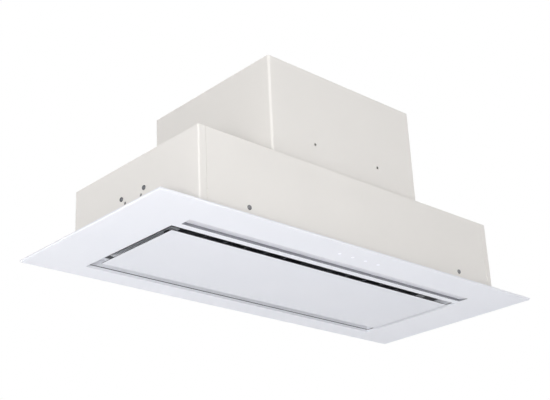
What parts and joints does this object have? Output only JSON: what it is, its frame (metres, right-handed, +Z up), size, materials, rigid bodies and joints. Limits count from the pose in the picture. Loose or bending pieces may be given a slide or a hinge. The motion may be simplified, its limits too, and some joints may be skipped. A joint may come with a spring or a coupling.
{
  "type": "built-in range hood",
  "caption": "Built-in range hood: framed underside with a hinged perimeter-suction panel, sheet-metal body, and a motor box with blower and round duct outlet.",
  "frame": {"origin": "centre of the visible underside of the frame plate, the lowest face of the hood", "axes": "+X along the hood to the right as seen from the front, +Y to the rear, +Z up into the cabinet"},
  "size_m": [0.9, 0.38, 0.367],
  "materials": {
    "frame_white": "cool white satin powder coat on the visible plate and panel",
    "body_white": "warm off-white powder coat on the body sheet",
    "seal_grey": "matt elastomer edge seal",
    "galvanised_steel": "zinc-coated sheet",
    "black_steel": "matt black coat",
    "bright_steel": "zinc-plated screws, pins and shaft",
    "white_plastic": "moulded ABS",
    "grey_plastic": "moulded ABS",
    "black_plastic": "moulded nylon",
    "motor_enamel": "black enamel",
    "circuit_board": "glass-fibre board with green mask",
    "light_strip": "white board with yellow phosphor diodes",
    "anodised_aluminium": "satin anodised extrusion",
    "opal_acrylic": "frosted acrylic light cover",
    "clear_acrylic": "light guide of the touch keys",
    "filter_frame": "black anodised frame",
    "filter_mesh": "dark layered aluminium mesh",
    "white_cable": "PVC sleeve",
    "black_cable": "PVC sleeve"
  },
  "bodies": {
    "hood": {"frame_plate": "frame_white", "lip_seal": "seal_grey", "suction_tray": "frame_white", "end_panel_left": "body_white", "end_panel_right": "body_white", "body_front_panel": "body_white", "body_rear_panel": "body_white", "body_top_panel": "body_white", "motor_box_shell": "body_white", "motor_box_rear": "body_white", "motor_box_top": "body_white", "outlet_collar": "white_plastic", "damper_pin": "bright_steel", "scroll_left": "white_plastic", "scroll_right": "white_plastic", "motor_housing": "motor_enamel", "motor_bracket": "galvanised_steel", "capacitor": "white_plastic", "capacitor_clip": "galvanised_steel", "control_box": "white_plastic", "control_box_lid": "white_plastic", "control_board": "circuit_board", "terminal_block": "black_plastic", "cable_gland": "black_plastic", "light_profile": "anodised_aluminium", "light_board": "light_strip", "light_cover": "opal_acrylic", "light_driver": "black_plastic", "light_lead": "white_cable", "motor_lead": "black_cable", "touch_board": "circuit_board", "touch_keys": "clear_acrylic", "filter_frame_left": "filter_frame", "filter_frame_right": "filter_frame", "filter_mesh_left": "filter_mesh", "filter_mesh_right": "filter_mesh", "end_baffle_left": "black_steel", "end_baffle_right": "black_steel", "filter_rails": "galvanised_steel", "magnet_catches": "black_plastic", "hinge_brackets": "galvanised_steel", "hinge_pins": "bright_steel", "nut_plates": "galvanised_steel", "front_screws": "bright_steel", "side_screws": "bright_steel", "box_screws": "bright_steel", "collar_screws": "bright_steel", "scroll_screws": "bright_steel"},
    "panel": {"suction_panel": "frame_white", "panel_carrier": "galvanised_steel", "keeper_plates": "galvanised_steel", "hinge_arms": "galvanised_steel"},
    "rotor": {"impeller": "galvanised_steel", "motor_shaft": "bright_steel"},
    "flap_front": {"damper_flap_front": "grey_plastic"},
    "flap_rear": {"damper_flap_rear": "grey_plastic"},
    "latch_left": {"filter_latch_left": "black_plastic"},
    "latch_right": {"filter_latch_right": "black_plastic"}
  },
  "joints": [
    {"name": "panel_hinge", "type": "hinge", "parent": "hood", "child": "panel", "pos_m": [0, 0.1211, 0.009], "axis": [1, 0, 0], "range_deg": [0, 90]},
    {"name": "impeller_spin", "type": "hinge", "parent": "hood", "child": "rotor", "pos_m": [0, -0.03465, 0.244], "axis": [1, 0, 0], "continuous": true},
    {"name": "flap_front_hinge", "type": "hinge", "parent": "hood", "child": "flap_front", "pos_m": [0, 0.00985, 0.35], "axis": [-1, 0, 0], "range_deg": [0, 75]},
    {"name": "flap_rear_hinge", "type": "hinge", "parent": "hood", "child": "flap_rear", "pos_m": [0, 0.00985, 0.35], "axis": [1, 0, 0], "range_deg": [0, 75]},
    {"name": "latch_left_slide", "type": "slide", "parent": "hood", "child": "latch_left", "axis": [0, 1, 0], "range_m": [0, 0.0065], "stiffness_N_per_m": 300, "springref_m": -0.006},
    {"name": "latch_right_slide", "type": "slide", "parent": "hood", "child": "latch_right", "axis": [0, 1, 0], "range_m": [0, 0.0065], "stiffness_N_per_m": 300, "springref_m": -0.006}
  ]
}
